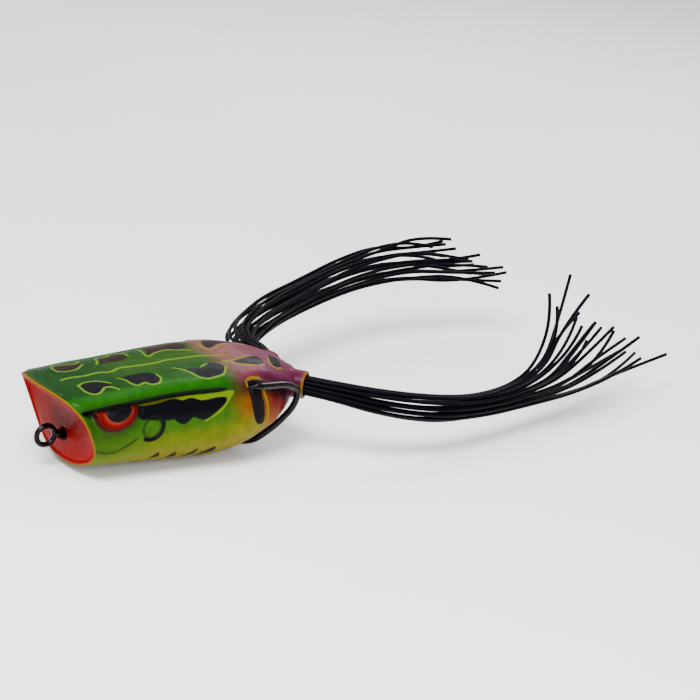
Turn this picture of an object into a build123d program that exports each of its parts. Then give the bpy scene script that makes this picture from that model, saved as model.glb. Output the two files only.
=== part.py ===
"""Hollow-bodied popping frog, a topwater fishing lure. Millimetres.

The frog looks along -Y, +Z is up and +X is its left side. It stands on its belly at Z = 0.
One soft hollow moulding is the body. A double hook with a line eye passes through it and
carries a cast keel weight. Two legs of round rubber strands leave through moulded sleeves.
"""
import math
import os
from build123d import *

# ---- driving dimensions -------------------------------------------------------------------
# Body stations, nose to tail: y, half width, top, bottom, height of the widest point, and how
# round the upper and lower halves are (1 is an ellipse, less is squarer).
STATIONS = [
    (-36.0, 12.3, 17.4, 2.3, 8.8, 0.70, 0.84),
    (-30.0, 12.4, 17.9, 1.9, 9.0, 0.70, 0.84),
    (-24.0, 12.4, 18.3, 1.5, 9.2, 0.68, 0.86),
    (-16.0, 12.5, 18.9, 1.0, 9.4, 0.66, 0.89),
    (-8.0, 12.7, 19.5, 0.5, 9.8, 0.64, 0.92),
    (0.0, 13.0, 20.2, 0.1, 10.2, 0.64, 0.94),
    (8.0, 13.2, 20.7, 0.15, 10.6, 0.65, 0.96),
    (16.0, 12.3, 20.6, 2.1, 11.4, 0.73, 1.00),
    (22.0, 9.8, 19.4, 5.6, 12.4, 0.88, 1.00),
    (27.0, 5.2, 17.0, 9.8, 13.3, 1.00, 1.00),
    (29.5, 2.2, 15.4, 12.0, 13.8, 1.00, 1.00),
]
SECTION_POINTS = 28
WALL = 1.1                     # soft moulding's wall
CAVITY_FRONT = -20.0           # the hollow starts behind the mouth cup
CAVITY_STATIONS = (-16.0, -8.0, 0.0, 8.0, 16.0, 22.0)
CAVITY_BACK = 24.6

# Mouth: the upper lip leads at LIP_Y, the face slants back downwards and curves back sideways.
LIP_Y = -30.4
LIP_Z = 17.8
MOUTH_SLANT = 0.43             # mm back for each mm down
MOUTH_SWEEP = 2.6              # mm back at MOUTH_HALF from the middle
MOUTH_HALF = 12.0
CUP_BACK = -23.2               # the cup's flat back, recessed under the upper lip
LIP_WALL = 0.9

# Leg sleeves, one each side of the tail.
LEG_ANGLE = 50.0               # degrees outwards from straight back
SLEEVE_ROOT = (4.0, 26.0, 13.8)
SLEEVE_LENGTH = 3.9
SLEEVE_RADIUS = 2.85
SLEEVE_BORE = 2.25
POCKET_RADIUS = 2.75
POCKET_BACK = -2.6
SLEEVE_BACK = -2.5             # where the sleeve's wall starts inside the tail
POCKET_FRONT = 0.2
COLLAR_RADIUS = 2.6
COLLAR_BORE = 2.08
COLLAR_LENGTH = 2.0

# Double hook: one wire bent into an eye, a twin shank and two bends.
WIRE_RADIUS = 0.68
SHANK_HALF_GAP = 0.62          # the twin shanks are brazed together
EYE_RADIUS = 1.95              # to the middle of the eye's wire
EYE_WIRE = 0.55
NECK_OVERLAP = 1.2             # how far the eye's neck runs over the twin shank
NECK_RADIUS = 0.98             # the neck where it meets the twin shank
EYE_Y = -27.0
EYE_Z = 6.6
SHANK = [(-24.4, 6.6), (-16.0, 6.6), (-11.5, 4.9), (8.5, 4.9), (12.6, 2.2), (15.2, 1.3)]
BEND = [(5.2, 18.0, 2.0), (8.3, 21.5, 6.6), (9.9, 24.0, 10.8), (10.5, 24.4, 14.6), (11.3, 20.6, 16.3),
        (12.6, 13.4, 17.0)]
POINT_LENGTH = 3.6
POINT_RADIUS = 0.06
BARB_HEIGHT = 0.7
BARB_LENGTH = 1.8
BARB_ROOT = (-0.1, 0.35)       # the barb's back edge along the wire, outside and inside
BARB_HALF_THICKNESS = 0.2
NOSE_HOLE_GAP = 0.12           # round the twin shank sideways, and round the neck up and down
NOSE_HOLE_FRONT = -25.0
NOSE_HOLE_LENGTH = 7.0
NOSE_HOLE_Z = 6.6
SLOT_HALF_WIDTH = 2.6
SLOT_FRONT = 9.6
SLOT_BACK = 17.4
SLOT_TOP = 4.2

# Keel weight cast on the straight middle of the shank.
WEIGHT_FRONT = -8.2
WEIGHT_LENGTH = 13.6
WEIGHT_RADIUS = 3.2
WEIGHT_ROUND = 1.4
WEIGHT_GAP = 0.03

# Leg strands, round rubber. Each leg follows a guide route; a strand keeps its place in the
# bundle, which opens out by SPREAD at each point of the route.
STRAND_DIAMETER = 0.75
RINGS = ((1, 0.0), (6, 0.80), (13, 1.66))
LEFT_ROUTE = [(2.47, 24.71, 13.8), (10.13, 31.14, 13.8), (17.0, 40.0, 12.5), (19.0, 53.0, 10.4),
              (16.0, 68.0, 8.4), (12.0, 83.0, 7.8), (8.5, 97.0, 8.6), (4.5, 110.0, 12.0),
              (2.5, 120.5, 17.5)]
RIGHT_ROUTE = [(-2.47, 24.71, 13.8), (-10.13, 31.14, 13.8), (-25.0, 32.0, 10.8), (-34.0, 44.5, 13.8),
               (-41.0, 60.5, 15.2), (-46.0, 77.0, 17.2), (-48.0, 93.0, 18.2), (-47.0, 107.0, 17.8),
               (-45.5, 119.5, 16.8)]
LEFT_SPREAD = (1.0, 1.0, 1.4, 1.6, 1.35, 1.4, 1.95, 3.0, 4.2)
RIGHT_SPREAD = (1.0, 1.0, 2.0, 2.0, 1.9, 1.9, 2.1, 2.3, 2.65)
LEFT_CURL = (13.0, -30.0, 9.0)      # how far the top strand's tip curls away from the guide
RIGHT_CURL = (2.0, -19.0, 3.5)
CURL_GROWTH = (0.0, 0.0, 0.0, 0.0, 0.04, 0.15, 0.38, 0.70, 1.0)
CURL_BIAS = 0.35                     # share of the curl that the middle strand has
FAN_LEAN = 34.0                      # degrees that the open bundle's fan leans over
ARC_SHARE = 0.45                     # part of the shorter run that an arc may take


# ---- shared shapes ------------------------------------------------------------------------
def station_at(y):
    """The station values at y, straight between the two stations beside it."""
    for low, high in zip(STATIONS, STATIONS[1:]):
        if low[0] <= y <= high[0]:
            t = (y - low[0]) / (high[0] - low[0])
            return tuple(a + (b - a) * t for a, b in zip(low, high))
    raise ValueError(y)


def section(station, inset=0.0):
    """A closed rounded face across the body at one station, moved inwards by inset."""
    at, half, top, bottom, middle, round_top, round_bottom = station
    half -= inset
    points = []
    for i in range(SECTION_POINTS):
        angle = 2 * math.pi * i / SECTION_POINTS
        c, s = math.cos(angle), math.sin(angle)
        power = round_top if s > 0 else round_bottom
        reach = (top - inset - middle) if s > 0 else (middle - bottom - inset)
        x = half * math.copysign(abs(c) ** power, c) if abs(c) > 1e-9 else 0.0
        z = middle + reach * (math.copysign(abs(s) ** power, s) if abs(s) > 1e-9 else 0.0)
        points.append((x, at, z))
    return make_face(Spline(points, periodic=True))


def leg_direction(side):
    angle = math.radians(LEG_ANGLE)
    return Vector(side * math.sin(angle), math.cos(angle), 0)


def sleeve_plane(side, along):
    """A plane across the leg sleeve's axis, at a distance along it from the sleeve's root."""
    direction = leg_direction(side)
    root = Vector(side * SLEEVE_ROOT[0], SLEEVE_ROOT[1], SLEEVE_ROOT[2])
    return Plane(origin=root + direction * along, z_dir=direction)


def round_bar(plane, radius, length):
    return extrude(plane * Circle(radius), amount=length)


def run_radii(points):
    """The largest tangent arc that each corner's two runs allow."""
    vectors = [Vector(*b) - Vector(*a) for a, b in zip(points, points[1:])]
    radii = []
    for before, after in zip(vectors, vectors[1:]):
        turn = math.radians(before.get_angle(after))
        radii.append(ARC_SHARE * min(before.length, after.length) / math.tan(turn / 2))
    return radii


def tube(points, radius):
    """A round tube along straight runs joined by tangent arcs. Returns the solid and its path."""
    path = FilletPolyline(*points, radius=run_radii(points))
    profile = Plane(origin=path @ 0, z_dir=path % 0) * Circle(radius)
    return sweep(profile, path=path), path


# ---- body ---------------------------------------------------------------------------------
def mouth_cutter():
    """Everything in front of the slanted, swept-back mouth."""
    reach = 16.0
    base_z = -6.0
    ahead = 14.0
    height = 40.0
    middle_y = LIP_Y + MOUTH_SLANT * (LIP_Z - base_z)
    side_y = middle_y + MOUTH_SWEEP * (reach / MOUTH_HALF) ** 2
    front_y = middle_y - ahead
    outline = Polyline((reach, side_y, base_z), (reach, front_y, base_z), (-reach, front_y, base_z),
                       (-reach, side_y, base_z))
    edge = ThreePointArc((-reach, side_y, base_z), (0, middle_y, base_z), (reach, side_y, base_z))
    return extrude(make_face([outline, edge]), amount=height, dir=(0, -MOUTH_SLANT, 1))


def mouth_cup():
    """The space inside the lips, back to the cup's flat back."""
    faces = [section(s, LIP_WALL) for s in STATIONS if s[0] < CUP_BACK]
    faces.append(section(station_at(CUP_BACK), LIP_WALL))
    return loft(faces)


def hollow():
    """The air space, one wall inside the skin."""
    faces = [section(station_at(CAVITY_FRONT), WALL)]
    faces += [section(s, WALL) for s in STATIONS if s[0] in CAVITY_STATIONS]
    faces.append(section(station_at(CAVITY_BACK), WALL))
    return loft(faces)


def nose_hole():
    """The shank's slot through the wall between the cup and the hollow."""
    width = 2 * (SHANK_HALF_GAP + WIRE_RADIUS + NOSE_HOLE_GAP)
    height = 2 * (NECK_RADIUS + NOSE_HOLE_GAP)
    plane = Plane(origin=(0, NOSE_HOLE_FRONT, NOSE_HOLE_Z), x_dir=(1, 0, 0), z_dir=(0, 1, 0))
    return extrude(plane * SlotOverall(width, height), amount=NOSE_HOLE_LENGTH)


def belly_slot():
    """The opening under the tail where the hook leaves the body."""
    length = SLOT_BACK - SLOT_FRONT
    middle = (SLOT_BACK + SLOT_FRONT) / 2
    outline = Plane(origin=(0, middle, -1.0)) * SlotOverall(length, 2 * SLOT_HALF_WIDTH, rotation=90)
    return extrude(outline, amount=SLOT_TOP + 1.0)


def body_shell():
    body = loft([section(s) for s in STATIONS])
    for side in (1, -1):
        body += round_bar(sleeve_plane(side, SLEEVE_BACK), SLEEVE_RADIUS, SLEEVE_LENGTH - SLEEVE_BACK)
    body -= mouth_cutter()
    body -= mouth_cup()
    body -= hollow()
    body -= nose_hole()
    body -= belly_slot()
    for side in (1, -1):
        body -= round_bar(sleeve_plane(side, POCKET_BACK), POCKET_RADIUS, POCKET_FRONT - POCKET_BACK)
        body -= round_bar(sleeve_plane(side, 0), SLEEVE_BORE, SLEEVE_LENGTH + 1)
    return body


# ---- hook and weight ----------------------------------------------------------------------
def hook_half(side):
    """One wire of the double hook, from the eye to its point and barb."""
    points = [(side * SHANK_HALF_GAP, y, z) for y, z in SHANK]
    points += [(side * x, y, z) for x, y, z in BEND]
    wire, path = tube(points, WIRE_RADIUS)
    end = path @ 1
    way = path % 1
    tip_plane = Plane(origin=end, z_dir=way)
    tip = loft([tip_plane * Circle(WIRE_RADIUS), tip_plane.offset(POINT_LENGTH) * Circle(POINT_RADIUS)])
    barb_plane = Plane(origin=end, x_dir=way, z_dir=(side, 0, 0))
    barb_outline = Polyline((BARB_LENGTH, 0), (BARB_ROOT[0], -WIRE_RADIUS - BARB_HEIGHT), (BARB_ROOT[1], 0),
                            close=True)
    barb = extrude(barb_plane * make_face(barb_outline), amount=BARB_HALF_THICKNESS, both=True)
    return wire + tip + barb


def double_hook():
    eye = Pos(0, EYE_Y, EYE_Z) * Rot(0, 90, 0) * Torus(EYE_RADIUS, EYE_WIRE)
    neck_length = SHANK[0][0] - EYE_Y - EYE_RADIUS + NECK_OVERLAP
    neck_plane = Plane(origin=(0, EYE_Y + EYE_RADIUS, EYE_Z), z_dir=(0, 1, 0))
    neck = loft([neck_plane * Circle(EYE_WIRE), neck_plane.offset(neck_length) * Circle(NECK_RADIUS)])
    return hook_half(1) + hook_half(-1) + eye + neck


def keel_weight():
    z = SHANK[2][1]
    plane = Plane(origin=(0, WEIGHT_FRONT, z), x_dir=(1, 0, 0), z_dir=(0, 1, 0))
    weight = round_bar(plane, WEIGHT_RADIUS, WEIGHT_LENGTH)
    weight = fillet(weight.edges().filter_by(GeomType.CIRCLE), WEIGHT_ROUND)
    bore = WIRE_RADIUS + WEIGHT_GAP
    length = WEIGHT_LENGTH + 2
    start = plane.offset(-1)
    for side in (1, -1):
        weight -= extrude(start * Pos(side * SHANK_HALF_GAP, 0) * Circle(bore), amount=length)
    return weight


# ---- legs ---------------------------------------------------------------------------------
def leg_collar(side):
    plane = sleeve_plane(side, -COLLAR_LENGTH)
    return round_bar(plane, COLLAR_RADIUS, COLLAR_LENGTH) - round_bar(plane, COLLAR_BORE, COLLAR_LENGTH)


def bundle_places():
    """Each strand's place in the bundle: sideways and upwards in the sleeve, then sideways and
    upwards outside it, where they fan out evenly along a line that leans over by FAN_LEAN."""
    packed = []
    for count, radius in RINGS:
        for i in range(count):
            angle = 2 * math.pi * (i + 0.25) / count
            packed.append((radius * math.cos(angle), radius * math.sin(angle)))
    lean = math.radians(FAN_LEAN)
    along_fan = [above * math.cos(lean) - across * math.sin(lean) for across, above in packed]
    top = RINGS[-1][1]
    step = 2 * top / (len(packed) - 1)
    places = []
    for (across, above), reach in zip(packed, along_fan):
        out = above * math.sin(lean) + across * math.cos(lean)
        even = sorted(along_fan).index(reach) * step - top
        places.append((across, above, out * math.cos(lean) - even * math.sin(lean),
                       out * math.sin(lean) + even * math.cos(lean)))
    return places


def strand_points(route, spread, curl, place):
    """One strand's route: its place in the bundle, carried along the guide route."""
    packed_across, packed_above, open_across, open_above = place
    lift = CURL_BIAS + (1 - CURL_BIAS) * open_above / RINGS[-1][1]
    points = []
    for k, centre in enumerate(route):
        in_sleeve = k < 2
        before = Vector(*route[0 if in_sleeve else k - 1])
        after = Vector(*route[1 if in_sleeve else min(k + 1, len(route) - 1)])
        along = (after - before).normalized()
        sideways = along.cross(Vector(0, 0, 1)).normalized()
        up = sideways.cross(along)
        across = packed_across if in_sleeve else open_across
        above = packed_above if in_sleeve else open_above
        point = Vector(*centre) + (sideways * across + up * above) * spread[k]
        point += Vector(*curl) * (lift * CURL_GROWTH[k])
        points.append(tuple(point))
    return points


def write(name, shape):
    shape.label = name
    export_step(shape, f"parts/{name}.step")


def main():
    os.makedirs("parts", exist_ok=True)
    write("body_shell", body_shell())
    write("double_hook", double_hook())
    write("keel_weight", keel_weight())
    legs = (
        ("left", 1, LEFT_ROUTE, LEFT_SPREAD, LEFT_CURL),
        ("right", -1, RIGHT_ROUTE, RIGHT_SPREAD, RIGHT_CURL),
    )
    section_area = math.pi * STRAND_DIAMETER ** 2 / 4
    for name, side, route, spread, curl in legs:
        write(f"{name}_leg_collar", leg_collar(side))
        for number, place in enumerate(bundle_places(), 1):
            points = strand_points(route, spread, curl, place)
            strand, path = tube(points, STRAND_DIAMETER / 2)
            write(f"{name}_leg_strand_{number:02d}", strand)
            smallest = min(run_radii(points))
            share = strand.volume / (section_area * path.length)
            sizes = f"{path.length:.1f} mm, smallest arc {smallest:.1f} mm, fill {share:.3f}"
            print(f"{name} {number:02d}: {sizes}")


if __name__ == "__main__":
    main()
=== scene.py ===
"""Looks of the hollow-bodied popping frog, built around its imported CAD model.

The frog looks along -Y, +Z is up and +X is its left side. Shapes are worked out in millimetres
and become metres where a mesh or curve is made. Places on the skin are given as (y, girth):
how far back from the middle, and how far round from the line down the middle of the back,
positive on the frog's left.
"""
import math

import bpy
import numpy as np
from mathutils import Matrix, Vector


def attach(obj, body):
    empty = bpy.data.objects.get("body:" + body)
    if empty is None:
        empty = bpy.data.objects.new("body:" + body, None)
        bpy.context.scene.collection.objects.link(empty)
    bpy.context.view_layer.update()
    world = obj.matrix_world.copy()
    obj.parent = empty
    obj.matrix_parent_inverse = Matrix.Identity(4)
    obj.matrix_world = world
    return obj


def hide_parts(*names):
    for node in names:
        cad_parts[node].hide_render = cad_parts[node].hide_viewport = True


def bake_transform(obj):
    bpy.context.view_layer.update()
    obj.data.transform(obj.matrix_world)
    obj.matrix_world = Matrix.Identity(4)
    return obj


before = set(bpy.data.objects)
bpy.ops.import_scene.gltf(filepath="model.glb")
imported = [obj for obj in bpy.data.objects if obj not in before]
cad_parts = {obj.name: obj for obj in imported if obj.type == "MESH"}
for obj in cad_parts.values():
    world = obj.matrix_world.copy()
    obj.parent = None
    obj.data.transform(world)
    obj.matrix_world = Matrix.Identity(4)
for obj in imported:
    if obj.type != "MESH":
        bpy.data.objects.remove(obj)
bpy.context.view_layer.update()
MM = 0.001

# ---- camera -------------------------------------------------------------------------------
CAMERA_TARGET = (17.6, 30.3, 24.8)
CAMERA_DISTANCE = 500.0
CAMERA_AZIMUTH = 52.0          # degrees round from looking along +Y, towards the frog's left
CAMERA_ELEVATION = 18.0
CAMERA_ROLL = 7.5
CAMERA_LENS = 129.6            # mm
CAMERA_SENSOR = 36.0
CAMERA_CLIP = 0.01             # m

# ---- body, the same sections as the CAD body ----------------------------------------------
# y, half width, top, bottom, height of the widest point, how round above and below (1 is an
# ellipse, less is squarer).
STATIONS = np.array([
    (-36.0, 12.3, 17.4, 2.3, 8.8, 0.70, 0.84),
    (-30.0, 12.4, 17.9, 1.9, 9.0, 0.70, 0.84),
    (-24.0, 12.4, 18.3, 1.5, 9.2, 0.68, 0.86),
    (-16.0, 12.5, 18.9, 1.0, 9.4, 0.66, 0.89),
    (-8.0, 12.7, 19.5, 0.5, 9.8, 0.64, 0.92),
    (0.0, 13.0, 20.2, 0.1, 10.2, 0.64, 0.94),
    (8.0, 13.2, 20.7, 0.15, 10.6, 0.65, 0.96),
    (16.0, 12.3, 20.6, 2.1, 11.4, 0.73, 1.00),
    (22.0, 9.8, 19.4, 5.6, 12.4, 0.88, 1.00),
    (27.0, 5.2, 17.0, 9.8, 13.3, 1.00, 1.00),
    (29.5, 2.2, 15.4, 12.0, 13.8, 1.00, 1.00),
])
LIP_Y = -30.4
LIP_Z = 17.8
MOUTH_SLANT = 0.43
MOUTH_SWEEP = 2.6
MOUTH_HALF = 12.0
LIP_THICKNESS = 0.8
LIP_ROUND = 0.35
CUP_BACK = -23.2
CUP_MIDDLE_Z = 8.8
CUP_FULLNESS = 2.2             # 2 is an ellipsoid, more is a flatter bottom with steeper sides
TAIL_START = 28.4
TAIL_LENGTH = 1.5
TAIL_END = TAIL_START + TAIL_LENGTH

# ---- the skin's grid ------------------------------------------------------------------------
COLUMNS = 304
BODY_ROWS = 216
LIP_ROWS = 7
CUP_ROWS = 34
TAIL_ROWS = 7
POLE_GAP = 0.4                 # the tail's first row is this share of a row from its pole
CUP_POLE_GAP = 0.5
CUP_CROWDING = 0.8             # under 1 crowds the cup's rows towards its rim
SECTION_ANGLES = 721
SAMPLE_START = -34.0
SAMPLE_STEP = 0.1
RIM_GUESS = -27.0              # where the search for the rim starts, and how many rounds it takes
RIM_ROUNDS = 25
INNER_ROWS = 20                # rows left out at each end where the normals' side is judged
NOT_IN_MOUTH = -9.0            # values of the "mouth" attribute: the tail, and the cup's two ends
CUP_EDGE_MARK = 1.0
CUP_MIDDLE_MARK = 11.0
FAR_AWAY = -4.0                # the lowest value of a painted mark's depth

LEG_ANGLE = 50.0
SLEEVE_ROOT = (4.0, 26.0, 13.8)
SLEEVE_LENGTH = 3.9
SLEEVE_RADIUS = 2.85
SLEEVE_BORE = 2.25
SLEEVE_BACK = -2.5
SLEEVE_FILLET = 1.2
SLEEVE_SIDES = 72
SLEEVE_EDGE = 0.22                 # radius of the round outer edge
SLEEVE_CHAMFER = 0.12              # of the inner edge
SLEEVE_ROWS = 26
BORE_ROWS = 5
BORE_FROM_MOUTH = 0.6              # the bore's rows run from this far inside the mouth
BORE_END = 0.4                     # to this far from the sleeve's root
SLEEVE_GIRTH = (4, 6)              # the sleeve's paint is taken from this girth on its top, and
                                   # this much more for each radian round it
BORE_MARK = 4                      # added to the "sleeve_end" attribute inside the bore
FILLET_START_Y = 15
SKIN_GAP_LIMIT = 29.4              # sections are measured no further back than this

BELLY_SLOT = (9.6, 17.4, 2.6)      # from y, to y, half width
BELLY_SLOT_DEPTH = 2.6
BELLY_SLOT_TOP = 7                 # the slot cuts only skin below this height,
BELLY_SLOT_MOUTH = -4              # and further behind the mouth's rim than this
NOSE_SLOT = (1.1, 0.9, 6.6)        # half width and half height of the hole, and its height
NOSE_SLOT_MARGIN = 0.2
NOSE_SLOT_DEPTH = 0.7
NOSE_SLOT_MOUTH = 3                # the hole dents only the cup, past this "mouth" value

# The sculpting fades out over these ranges: behind the mouth's rim, and in y towards the tail.
RIM_FADE = (0.5, 1.6)
TAIL_FADE = (28.6, 26.5)

# ---- leg strands, the same routes as the CAD strands ---------------------------------------
STRAND_DIAMETER = 0.75
RINGS = ((1, 0.0), (6, 0.80), (13, 1.66))
LEFT_ROUTE = [(2.47, 24.71, 13.8), (10.13, 31.14, 13.8), (17.0, 40.0, 12.5), (19.0, 53.0, 10.4),
              (16.0, 68.0, 8.4), (12.0, 83.0, 7.8), (8.5, 97.0, 8.6), (4.5, 110.0, 12.0),
              (2.5, 120.5, 17.5)]
RIGHT_ROUTE = [(-2.47, 24.71, 13.8), (-10.13, 31.14, 13.8), (-25.0, 32.0, 10.8), (-34.0, 44.5, 13.8),
               (-41.0, 60.5, 15.2), (-46.0, 77.0, 17.2), (-48.0, 93.0, 18.2), (-47.0, 107.0, 17.8),
               (-45.5, 119.5, 16.8)]
LEFT_SPREAD = (1.0, 1.0, 1.4, 1.6, 1.35, 1.4, 1.95, 3.0, 4.2)
RIGHT_SPREAD = (1.0, 1.0, 2.0, 2.0, 1.9, 1.9, 2.1, 2.3, 2.65)
LEFT_CURL = (13.0, -30.0, 9.0)
RIGHT_CURL = (2.0, -19.0, 3.5)
CURL_GROWTH = (0.0, 0.0, 0.0, 0.0, 0.04, 0.15, 0.38, 0.70, 1.0)
CURL_BIAS = 0.35
FAN_LEAN = 34.0                    # degrees that the open bundle's fan leans over
TUBE_SIDES = 12
LINE_RESOLUTION = 10

# How a strand wanders from its CAD route: spreads in mm, drawn at random.
WANDER_SEED = 7
WANDER_ROOT = 0.03
WANDER_GROWTH = 0.025              # more at each control point
WANDER_BEND = 0.7                  # at the last point but one
WANDER_TIP = 1.5
TIP_CUT = (-4.0, 1.5)              # the tip ends this much short of the route, to this much past it

# ---- sculpted features of the skin ---------------------------------------------------------
RIDGE_LINE = [(-27.0, 12.0), (-20.0, 11.9), (-8.0, 11.9), (-2.0, 12.3), (5.0, 13.0), (9.0, 13.2)]
EYE = (-18.9, 12.9)
RING_SIZE = (4.9, 3.9)             # half length and half height of the coloured ring
PUPIL = (-18.5, 12.6)
PUPIL_SIZE = (2.8, 2.3)
EARDRUM = (-10.8, 17.7)
EARDRUM_RADIUS = 1.95
SMILE = [(-24.2, 18.8), (-22.7, 20.2), (-20.5, 21.2), (-18.4, 21.3), (-16.6, 20.6), (-14.1, 19.3)]
HIP_CREASE = [(10.5, 11.9), (14.0, 11.3), (19.0, 11.0), (24.0, 10.2)]
THIGH = [(14.0, 14.5), (17.5, 19.0)]
LIP_OFFSET = (0.1, 0.75)           # the swollen lip lies this far above the mouth's line
HIP_OFFSET = (0.0, 1.3)            # and the swollen hip this far above its crease

# Height in mm and width of each sculpted hump or groove.
BACK_HOLLOW = (0.35, 5.5)
RIDGE_SWELL = (0.50, 1.7)
RIDGE_GROOVE = (0.55, 0.42)
CHEEK_DROP = 0.30
RING_RISE = 0.75
PUPIL_RISE = 0.35
PUPIL_GROOVE = (0.18, 0.10)
RING_GROOVE = (0.10, 0.09)
BROW_SWELL = (0.35, 0.9)
EYE_SLIT_DEPTH = 0.5
EARDRUM_GROOVE = (0.34, 0.36)
EARDRUM_RISE = 0.22
SMILE_GROOVE = (0.36, 0.34)
LIP_SWELL = (0.14, 0.5)
HIP_GROOVE = (0.30, 0.45)
HIP_SWELL = (0.30, 1.1)
THIGH_RISE = 0.30
STRIPE_GROOVE = (0.22, 0.7)

# ---- painted marks, on the back: (y, distance out from the line down its middle) -------------
MIDDLE_LINE = 0.4                  # the painted line lies this far to the frog's left
BACK_LINE = [(-25.0, 0.1), (-22.9, -0.2), (-20.0, 0.1), (-16.6, -0.2), (-14.5, 0.5), (-11.7, -0.5),
             (-8.1, -0.1), (-4.0, 0.3), (-1.6, 0.0), (1.0, 0.3), (4.4, 0.7), (6.5, 1.2), (8.3, 1.8),
             (10.6, 1.7)]
SPOTS = [
    [(-23.3, 4.3), (-21.8, 3.7), (-20.0, 4.1), (-17.8, 5.6), (-19.4, 6.2), (-21.2, 7.3), (-22.1, 7.2),
     (-22.9, 6.2)],
    [(-14.0, 4.5), (-10.7, 4.2), (-8.6, 4.4), (-7.4, 6.0), (-7.7, 7.6), (-9.0, 7.9), (-10.2, 7.1),
     (-11.7, 7.3), (-12.9, 6.3)],
]
SPOT_LINES = [
    [(-23.6, 4.0), (-23.4, 6.6), (-22.1, 8.0), (-20.6, 7.8), (-19.1, 6.6), (-17.7, 6.8), (-16.6, 8.0)],
    [(-23.6, 4.2), (-21.8, 3.3), (-19.4, 3.6), (-17.2, 5.4)],
    [(-14.9, 4.0), (-13.9, 5.3), (-13.4, 7.0), (-12.5, 7.9), (-10.7, 7.5), (-9.6, 8.5), (-8.0, 8.4),
     (-6.9, 7.2), (-7.0, 5.4)],
]
LEFT_SPOTS = [
    [(-0.3, 6.2), (2.7, 6.4), (4.7, 5.5), (6.2, 5.8), (7.2, 7.3), (6.0, 8.7), (4.1, 9.3), (2.3, 9.2),
     (1.3, 8.4), (0.7, 7.1)],
    [(11.0, 5.9), (14.5, 5.0), (16.4, 4.2), (17.5, 4.9), (16.9, 6.4), (15.1, 6.9), (12.7, 6.6)],
]
LEFT_LINES = [
    [(-2.6, 4.2), (-1.0, 6.0), (-0.1, 7.5), (0.7, 9.1), (2.0, 9.9), (3.8, 9.9), (6.2, 9.4), (7.8, 7.4)],
    [(2.8, 6.0), (4.7, 5.1)],
    [(8.6, 5.0), (11.7, 5.0), (14.7, 3.9), (16.4, 3.6)],
    [(8.6, 5.0), (10.5, 6.4), (12.3, 7.4), (15.4, 7.6), (17.4, 7.0)],
]
RIGHT_SPOTS = [
    [(-2.8, 4.3), (-1.0, 4.6), (1.0, 5.2), (3.0, 4.4), (5.4, 4.6), (5.6, 7.6), (2.7, 9.2), (0.5, 10.0),
     (-1.7, 9.4), (-1.6, 6.8)],
    [(9.9, 3.2), (10.8, 2.9), (13.2, 4.4), (17.2, 4.9), (17.9, 7.2), (14.2, 8.6), (12.3, 7.6), (10.8, 5.8)],
]
RIGHT_LINES = [
    [(-3.0, 8.0), (-3.8, 3.3), (-1.6, 4.2), (1.0, 4.7), (3.5, 3.6), (5.6, 2.4)],
    [(9.2, 5.6), (9.2, 2.1), (10.4, 1.7), (13.5, 3.4), (16.8, 4.0), (19.0, 3.0)],
]
TAIL_SPOT = [(21.1, 3.3), (22.7, 2.2), (23.0, 3.4), (21.9, 5.8), (20.3, 6.4), (20.3, 4.7)]
TAIL_LINE = [(20.3, 3.6), (19.3, 6.4), (20.5, 7.2), (22.3, 6.3)]
SPOT_GROWTH = 0.4                  # the dark spots reach to their pale outlines
BACK_LINE_HALF = 0.30              # half widths of the painted lines
OUTLINE_HALF = 0.20
HIP_LINE_HALF = 0.24
SHADE_HALF = 0.34

# ---- painted marks on the flanks, the same on both sides: (y, girth) --------------------------
BAND = [(-14.6, 12.8), (-11.6, 12.9), (-9.3, 12.9), (-7.5, 12.7), (-5.9, 12.7), (-4.3, 13.4),
        (-3.2, 13.3), (-2.0, 13.4), (-0.1, 14.2), (1.4, 14.3), (3.2, 14.3), (5.4, 14.6), (5.2, 15.7),
        (3.9, 16.7), (2.4, 17.6), (0.7, 18.3), (-1.1, 17.6), (-2.0, 17.2), (-3.1, 18.0), (-4.3, 18.2),
        (-5.6, 17.4), (-6.3, 16.8), (-7.7, 16.7), (-9.4, 16.3), (-12.0, 15.8), (-14.0, 15.0)]
EARDRUM_SHADE = [(-9.4, 15.8), (-8.5, 17.0), (-8.6, 18.6), (-9.6, 19.8), (-11.2, 20.1), (-12.4, 19.6)]
BAND_EDGE = [(-13.0, 12.4), (-9.0, 12.3), (-5.0, 12.3), (-1.0, 12.8), (3.0, 13.2), (7.2, 13.5),
             (6.4, 15.0), (4.7, 17.0), (2.6, 18.1), (0.6, 18.6), (0.0, 16.0), (-6.0, 14.5),
             (-13.0, 13.8)]
EYE_SLIT = [(-26.4, 11.7), (-24.6, 12.0), (-23.3, 12.6), (-23.5, 13.6), (-25.0, 12.9)]
BELLY_MARKS = [
    [(-8.3, 23.9), (-7.5, 25.8), (-9.4, 26.4)],
    [(-4.2, 25.0), (-3.3, 27.2), (-5.2, 27.4)],
    [(0.8, 25.2), (0.8, 27.8), (-1.6, 28.4)],
    [(4.6, 25.6), (5.2, 28.0), (1.4, 29.0)],
]
HIP_STRIPE = [(10.9, 12.1), (13.9, 11.9), (13.3, 13.7), (14.4, 16.5), (15.1, 20.1), (14.5, 21.0),
              (13.2, 20.5), (11.8, 17.4), (10.9, 14.0)]
HIP_LINES = [
    [(10.5, 13.0), (10.6, 11.8), (12.3, 11.3), (14.2, 11.3)],
    [(14.0, 12.6), (14.4, 14.5), (15.3, 16.3), (15.9, 19.1), (15.8, 21.3)],
]

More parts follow.
